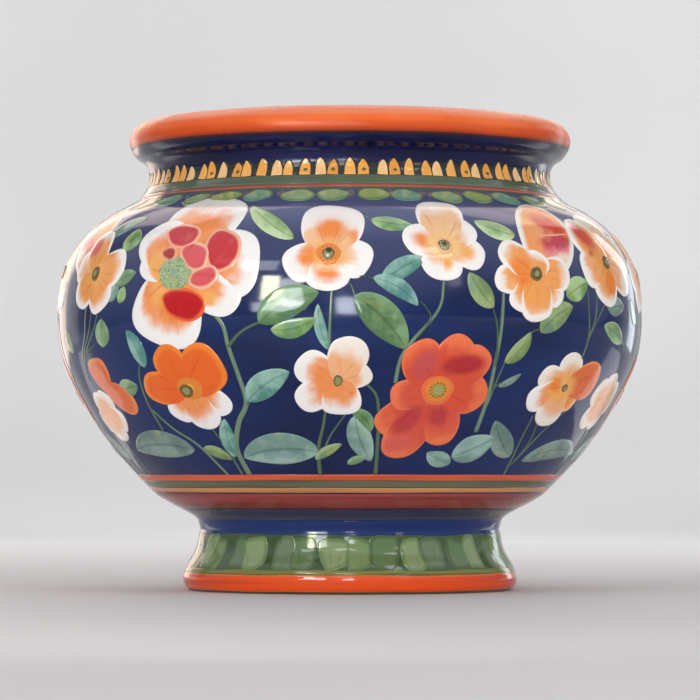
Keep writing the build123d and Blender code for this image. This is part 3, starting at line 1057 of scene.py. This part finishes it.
# A stem is (width, its points from the bottom up).
STEMS = {
    "stems_peony": [
        (3.4, [(-26.6, 51), (-27.0, 62), (-24.4, 73), (-21.6, 81), (-22.0, 92), (-23.2, 105),
               (-24.0, 113), (-27.0, 121)]),
        (2.0, [(-23.2, 104), (-20.4, 110), (-16.8, 113.8), (-13.4, 116)]),
        (1.6, [(-28.6, 51), (-29.6, 62), (-31.6, 71)]),
        (2.4, [(-7.6, 51), (-7.2, 62), (-5.8, 71), (-4.8, 80)]),
        (1.5, [(-6.8, 58), (-4.4, 67), (-1.0, 76)]),
        (2.0, [(-21.4, 80), (-20.6, 82.4), (-19.4, 84)]),
    ],
    "stems_pansy": [
        (2.1, [(-3.9, 103), (-3.6, 115), (-3.2, 129)]),
        (2.4, [(6.4, 51), (6.2, 64), (6.0, 75), (5.2, 84), (2.6, 89.6)]),
        (1.2, [(1.0, 124), (0.2, 129), (-1.4, 133)]),
        (1.2, [(5.6, 130.6), (3.2, 132.4), (0.6, 132.8)]),
        (1.1, [(6.4, 156.4), (4.0, 158.0), (2.4, 159.2)]),
    ],
    "stems_peach": [
        (2.4, [(8.8, 89), (9.5, 99), (11.8, 107), (15.0, 115), (16.8, 122), (17.4, 132)]),
        (1.3, [(12.4, 107.6), (14.8, 115), (14.0, 119.6), (12.8, 122.6)]),
        (2.8, [(28.6, 69), (28.9, 84), (28.6, 99), (29.0, 113), (29.4, 128)]),
        (1.6, [(28.7, 96), (28.4, 106), (27.9, 114), (26.9, 121)]),
        (1.6, [(29.2, 80), (29.9, 90), (30.8, 99)]),
        (1.3, [(35.2, 109.8), (37.0, 111.6), (39.4, 112.2)]),
        (1.2, [(29.4, 85.6), (30.2, 88.4), (31.4, 90)]),
    ],
    "stems_right": [
        (1.7, [(43.6, 51), (42.2, 64), (42.4, 76)]),
        (1.7, [(43.8, 55), (45.2, 65), (44.6, 76)]),
        (1.7, [(44.0, 57), (47.4, 68), (52.6, 79)]),
        (2.0, [(50.3, 99), (51.4, 108), (51.2, 118), (50.8, 130)]),
        (1.6, [(51.2, 108), (53.2, 117), (54.2, 130)]),
        (1.4, [(51.6, 109), (54.4, 118), (57.8, 127)]),
        (1.3, [(61.8, 110.6), (66.0, 107.6), (67.2, 103)]),
        (1.8, [(70.0, 51), (69.0, 62), (68.0, 72)]),
        (2.2, [(86.6, 51), (88.0, 66), (88.6, 74)]),
        (2.0, [(78.6, 51), (80.6, 72), (79.4, 92), (81.4, 108), (80.6, 124)]),
        (1.5, [(80.4, 98), (83.0, 104), (86.4, 108)]),
    ],
    "stems_left": [
        (2.3, [(-33.0, 51), (-37.0, 63), (-42.4, 70.6), (-46.4, 78.5)]),
        (2.0, [(-46.0, 70), (-46.8, 82), (-46.2, 92), (-44.6, 98)]),
        (1.9, [(-66.0, 92), (-64.6, 102), (-61.6, 111), (-60.4, 123)]),
        (1.7, [(-65.4, 96), (-63.0, 104), (-59.6, 112), (-57.8, 123)]),
        (1.6, [(-64.6, 99), (-61.0, 106), (-57.6, 113), (-55.4, 122)]),
        (1.4, [(-64.6, 101), (-60.4, 104.6), (-57.0, 107)]),
        (1.7, [(-65.6, 51), (-65.0, 62), (-64.6, 68)]),
        (2.0, [(-79.0, 51), (-80.6, 74), (-78.8, 96), (-79.6, 122)]),
        (1.5, [(-79.8, 88), (-76.0, 98), (-71.4, 106)]),
    ],
}


def sprigs(turn, side):
    """All the leaves and stems of one painted panel."""
    for name, strokes in LEAF_SPRIGS.items():
        enamel = Enamel()
        for k, (base, tip, width, look, bend) in enumerate(strokes):
            base, tip = ((azimuth + turn, height) for azimuth, height in (base, tip))
            leaf(enamel, base, tip, width, LEAVES[look], bend, lift=0.15 * MM + 0.02 * MM * (k % 3))
        enamel.piece(f"{name}_{side}", LEAF, "leaf_enamel")
    for name, strokes in STEMS.items():
        enamel = Enamel()
        for k, (width, points) in enumerate(strokes):
            look = STEM if k % 2 == 0 else STEM_DARK
            stem(enamel, [(azimuth + turn, height) for azimuth, height in points], width, look,
                 lift=0.09 * MM + 0.015 * MM * (k % 4))
        enamel.piece(f"{name}_{side}", WASH, "leaf_enamel")


def blooms(turn, side):
    """All the flowers of one painted panel."""
    for k, (name, parts) in enumerate(FLOWERS.items()):
        flower(f"{name}_{side}", turn=turn, seed=0.9 * k + turn, **parts)
    peony(f"peony_{side}", turn)
    tall_petal(f"coral_petal_right_{side}", 42.8, 151.5, 62, turn)
    tall_petal(f"coral_petal_left_{side}", -66.5, 155, 118, turn, mirror=-1)


# ---------------------------------------------------------------- borders

def border_leaves():
    """The row of short leaves hung under the upper red line."""
    enamel = Enamel()
    number = 40
    greens = [
        (paint(160, 188, 140, 0.9), paint(112, 146, 98, 1.6)),
        (paint(160, 186, 118, 0.9), paint(112, 146, 82, 1.6)),
        (paint(134, 180, 154, 0.9), paint(98, 142, 120, 1.6)),
    ]
    for k in range(number):
        azimuth = -4 + k * 360 / number + 0.7 * math.sin(2.3 * k)
        centre = home(azimuth, 168.4 + 0.3 * math.sin(1.7 * k))
        tilt = 5 * math.sin(1.9 * k) - 3
        blob(enamel, centre, (0, 0), 7.2 + 0.6 * math.sin(3.1 * k), 6.3, tilt, greens[k % 3], 0.18 * MM,
             core=(0, 5), reach=11.0, egg=0.16 * math.sin(2.9 * k), seed=k, points=40)
    enamel.piece("border_leaves", WASH, "leaf_enamel")


def lappets():
    """The ring of golden pointed arches under the neck, some with a green bead."""
    golds, beads = Enamel(), Enamel()
    number = 88
    tones = [
        (paint(248, 178, 84, 2.0), paint(255, 214, 140, 1.0)),
        (paint(242, 168, 66, 2.0), paint(252, 202, 116, 1.0)),
        (paint(250, 200, 130, 2.0), paint(255, 226, 176, 1.2)),
        (paint(234, 154, 54, 2.0), paint(250, 190, 98, 0.9)),
    ]
    bead_look = (paint(86, 104, 44, 2.0), paint(60, 70, 30, 0.3))
    outline = (paint(44, 30, 18, 2.0), paint(36, 28, 20, 0.3))
    u = np.linspace(0.0, 0.99, 12)
    for k in range(number):
        wide = 6.4 + 0.35 * math.sin(2.6 * k) + 0.25 * math.sin(5.9 * k)
        azimuth = (k + 0.14 * math.sin(4.1 * k)) * 360 / number
        top = 184.7 + 0.45 * math.sin(1.7 * k + 1) + 0.3 * math.sin(4.7 * k)
        phi, low = home(azimuth, 177.9)
        high = home(azimuth, top)[1]
        lean = math.radians(0.30) * math.sin(3.7 * k) * u
        half_width = wide / 2 * (1 - u**2.6) ** 0.65
        tone = tones[(k * 5 + k // 7) % 4]
        lift = (0.16 + 0.07 * (k % 2)) * MM
        taller = high - low + 0.35 * MM
        ribbon(golds, phi + lean, low + taller * u, half_width + 0.6, outline, lift - 0.02 * MM)
        ribbon(golds, phi + lean, low + (high - low) * u, half_width, tone, lift)
        if k % 7 in (1, 3):
            blob(beads, (phi, low), (0.2, 2.4), 0.95, 0.85, 0, bead_look, 0.34 * MM,
                 wave=0.04, seed=k, points=16)
    golds.piece("neck_lappets", PETAL, "band_enamel")
    beads.piece("neck_beads", WASH, "band_enamel")


def foot_strokes():
    """Broad rounded green strokes round the foot, with the dark ground between them."""
    enamel = Enamel()
    number = 38
    greens = [
        (paint(120, 144, 92, 1.2), paint(92, 116, 66, 2.6)),
        (paint(98, 124, 80, 1.2), paint(76, 100, 58, 2.6)),
        (paint(136, 156, 108, 1.2), paint(106, 130, 78, 2.6)),
        (paint(110, 130, 96, 1.2), paint(88, 108, 70, 2.6)),
    ]
    for k in range(number):
        azimuth = 3 + (k + 0.22 * math.sin(3.3 * k)) * 360 / number
        wide = 5.9 + 0.9 * math.sin(2.1 * k)
        tall = 7.9 + 0.4 * math.sin(1.3 * k)
        centre = home(azimuth, 17.0 + 0.4 * math.sin(2.7 * k))
        lift = (0.12 + 0.03 * (k % 3)) * MM
        tilt = 90 + 8 * math.sin(4.3 * k)
        green = greens[(k * 5 + k // 4) % 4]
        blob(enamel, centre, (0, 0), tall, wide, tilt, green, lift, core=(0, -12), reach=20,
             egg=0.28 * math.sin(1.9 * k), square=0.55, wave=0.05, seed=k, points=48, ink=0.15)
    enamel.piece("foot_strokes", WASH, "band_enamel")


def bands():
    """The painted bands, from the hem of the foot to the neck.

    Each is (name, bottom, top, its colour, its edge, how it wavers, its thickness, seed).
    """
    for name, low, high, heart, rim, waver, lift, seed in (
        ("foot_hem", 0.7, 8.8, paint(232, 80, 24), paint(232, 140, 50, 1.6), 0.16, 0.14, 0.4),
        ("foot_olive_line", 8.2, 10.6, paint(128, 124, 44), paint(96, 110, 46, 1.2), 0.3, 0.10, 1.7),
        ("waist_blue", 24.8, 32.0, paint(22, 46, 104), paint(32, 48, 98, 1.0), 0.3, 0.14, 2.2),
        ("waist_grey", 31.2, 36.4, paint(74, 74, 92), paint(46, 52, 88, 0.8), 0.12, 0.10, 3.0),
        ("maroon_band", 36.1, 43.6, paint(166, 70, 68), paint(186, 96, 76, 0.8), 0.1, 0.14, 1.1),
        ("gold_band", 43.4, 45.7, paint(218, 150, 88), paint(180, 118, 70, 0.7), 0.08, 0.2, 4.2),
        ("green_band", 45.6, 48.6, paint(108, 112, 86), paint(84, 84, 66, 0.6), 0.08, 0.14, 5.1),
        ("lower_red_line", 48.4, 51.3, paint(230, 104, 66), paint(206, 96, 70, 0.6), 0.1, 0.2, 6.3),
        ("upper_red_line", 172.4, 173.6, paint(206, 92, 70), paint(180, 90, 74, 0.4), 0.06, 0.2, 7.7),
        ("grey_green_band", 173.7, 178.2, paint(98, 110, 88), paint(84, 94, 76, 0.8), 0.06, 0.14, 8.4),
        ("lappet_ground", 177.6, 184.0, paint(40, 46, 26), paint(30, 34, 30, 1.2), 0.2, 0.08, 9.2),
    ):
        hoop(name, low, high, (heart, rim), waver, lift * MM, seed)


# ---------------------------------------------------------------- studio

def stage_piece(name, spots, faces, material):
    mesh = bpy.data.meshes.new(name)
    mesh.from_pydata(spots, [], faces)
    mesh.shade_smooth()
    mesh.materials.append(material)
    piece = bpy.data.objects.new(name, mesh)
    bpy.context.scene.collection.objects.link(piece)


def studio_sweep():
    """A pale paper sweep: flat under the vase, and curving up well behind it."""
    half, front, bend, radius, top = 4.0, -3.2, 1.5, 1.0, 4.0
    profile = [(front, 0.0), (bend, 0.0)]
    for k in range(1, 17):
        turn = math.pi / 2 * k / 16
        profile.append((bend + radius * math.sin(turn), radius * (1 - math.cos(turn))))
    profile.append((bend + radius, top))
    spots = [(side * half, y, z) for y, z in profile for side in (-1, 1)]
    faces = [(2 * k, 2 * k + 1, 2 * k + 3, 2 * k + 2) for k in range(len(profile) - 1)]
    stage_piece("studio_sweep", spots, faces, studio_material("studio_paper", paint(214, 213, 212)))


def panel_light(name, width, height, glow, colour, place, rotation):
    """A rectangular light that the camera doesn't see, with glow as its brightness."""
    data = bpy.data.lights.new(name, "AREA")
    data.shape = "RECTANGLE"
    data.size, data.size_y = width, height
    data.energy = glow * math.pi * width * height
    data.color = colour
    light = bpy.data.objects.new(name, data)
    light.location = place
    light.rotation_euler = rotation
    light.visible_camera = False
    bpy.context.scene.collection.objects.link(light)
    return light


def softbox(name, azimuth, elevation, distance, width, height, glow, colour=(1, 1, 1),
            mirrored=False, aim=(0.0, 0.0, 0.1)):
    """A light at a distance from its aim, which either lights the vase or is only mirrored in it."""
    phi, rise = math.radians(azimuth), math.radians(elevation)
    flat = distance * math.cos(rise)
    across, ahead, up = flat * math.sin(phi), -flat * math.cos(phi), distance * math.sin(rise)
    place = (aim[0] + across, aim[1] + ahead, aim[2] + up)
    turned = (math.pi / 2 - rise, 0, phi)
    light = panel_light(name, width, height, glow, colour, place, turned)
    light.visible_glossy = mirrored
    light.visible_diffuse = not mirrored


def floor_card(name, start, end, width, glow):
    """A bright strip on the floor from one place to another, seen only mirrored in the glaze."""
    along, across = end[0] - start[0], end[1] - start[1]
    above_floor = 2 * MM
    place = ((start[0] + end[0]) / 2, (start[1] + end[1]) / 2, above_floor)
    turned = (math.pi, 0, math.atan2(across, along))
    light = panel_light(name, math.hypot(along, across), width, glow, (1, 1, 1), place, turned)
    light.visible_diffuse = False


def studio_air():
    """The room the glaze mirrors: dim at the horizon, and a broad blue-white glow overhead."""
    world = bpy.data.worlds.new("studio_air")
    bpy.context.scene.world = world
    world.use_nodes = True
    world.cycles_visibility.diffuse = False
    tree = world.node_tree
    spot = tree.nodes.new("ShaderNodeTexCoord")
    split = tree.nodes.new("ShaderNodeSeparateXYZ")
    tree.links.new(spot.outputs["Generated"], split.inputs[0])
    rise = tree.nodes.new("ShaderNodeMapRange")
    rise.interpolation_type = "SMOOTHSTEP"
    for key, value in (("From Min", -0.05), ("From Max", 0.78)):
        rise.inputs[key].default_value = value
    tree.links.new(split.outputs["Z"], rise.inputs["Value"])
    tone = tree.nodes.new("ShaderNodeMix")
    tone.data_type = "RGBA"
    tone.inputs[6].default_value = (0.30, 0.34, 0.40, 1)
    tone.inputs[7].default_value = (1.05, 1.10, 1.35, 1)
    tree.links.new(rise.outputs["Result"], tone.inputs[0])
    tree.links.new(tone.outputs[2], tree.nodes["Background"].inputs["Color"])


# Boxes seen only as reflections: the edges' glow, and the photo's lamp and windows.
# Each is (name, azimuth, elevation, distance, width, height, glow, colour).
MIRRORED_BOXES = [
    ("left_edge_box", -152, 8, 1.3, 0.40, 1.1, 1.9, (1.0, 0.72, 0.58)),
    ("left_haze_box", -136, 7, 1.3, 0.36, 1.1, 0.42, (1.0, 0.90, 0.82)),
    ("right_haze_box", 134, 7, 1.3, 0.28, 1.1, 0.20, (0.90, 0.95, 1.0)),
    ("rim_glow", 180, 58, 1.3, 1.8, 0.8, 2.2, (1.0, 0.80, 0.72)),
    ("left_shoulder_box", -164, 27, 1.3, 0.36, 0.5, 1.2, (1.0, 0.68, 0.54)),
    ("right_shoulder_box", 164, 27, 1.3, 0.36, 0.5, 1.3, (1.0, 0.80, 0.68)),
    ("right_edge_box", 141, 6, 1.3, 0.22, 1.0, 2.6, (0.86, 0.93, 1.0)),
    ("lamp_left", -28.1, 12.3, 0.64, 0.07, 0.12, 34.0, (1.0, 1.0, 0.74)),
    ("window_left", -20.8, 9.8, 0.64, 0.085, 0.14, 14.0, (0.90, 0.95, 1.0)),
    ("window_middle", -1.5, 3.4, 0.63, 0.075, 0.10, 20.0, (0.88, 0.93, 1.0)),
    ("window_low", -25, 3.6, 0.64, 0.20, 0.05, 15.0, (0.88, 0.94, 1.0)),
    ("window_foot_left", -33, 26, 0.64, 0.13, 0.10, 7.0, (0.90, 0.95, 1.0)),
    ("window_foot_middle", -5, 24, 0.64, 0.13, 0.08, 7.0, (0.90, 0.95, 1.0)),
    ("window_right", 37, 17, 0.65, 0.06, 0.12, 3.5, (1.0, 0.88, 0.86)),
    ("window_high", 35, 40, 0.70, 0.12, 0.12, 5.0, (0.95, 0.95, 1.0)),
]


def lighting():
    """Soft studio light: even fills, a wash for the backdrop, and what the glaze mirrors."""
    softbox("top_fill", -4, 62, 1.7, 2.2, 1.2, 0.9)
    for azimuth, glow in ((-62, 4.5), (0, 5.5), (62, 4.5)):
        softbox(f"even_fill_{azimuth}", azimuth, 9, 2.2, 1.7, 0.66, glow)
    softbox("backdrop_wash", 0, 42, 1.7, 3.6, 1.0, 2.4, aim=(0.0, 2.2, 0.2))
    for box in MIRRORED_BOXES:
        softbox(*box, mirrored=True)
    floor_card("left_floor_card", (-0.19, 0.08), (-0.62, 0.42), 0.13, 0.9)
    floor_card("right_floor_card", (0.19, 0.08), (0.62, 0.42), 0.13, 1.0)
    studio_air()
    bpy.context.scene.view_settings.view_transform = "Standard"


def camera():
    """A long lens low in front of the vase, tipped up a little."""
    distance, eye_height, tipped_up = 1.6261, 0.0511, 1.96
    data = bpy.data.cameras.new("camera")
    data.lens = 187.5
    data.sensor_width = 36
    data.clip_end = 30
    eye = bpy.data.objects.new("camera", data)
    eye.location = (0, -distance, eye_height)
    eye.rotation_euler = (math.radians(90 + tipped_up), 0, 0)
    bpy.context.scene.collection.objects.link(eye)
    bpy.context.scene.camera = eye


foot_section()
bowl_section()
section("shoulder", BELLY_GROUND_AND_SHEEN, 70, 50)
section("neck", NECK_GROUND, 40, 30)
section("rolled_rim", RIM_GROUND_AND_PAINTED_LIGHT, 40, 30)
bands()
foot_strokes()
border_leaves()
lappets()
for panel_turn, panel_side in ((0, "front"), (180, "back")):
    sprigs(panel_turn, panel_side)
    blooms(panel_turn, panel_side)
studio_sweep()
lighting()
camera()
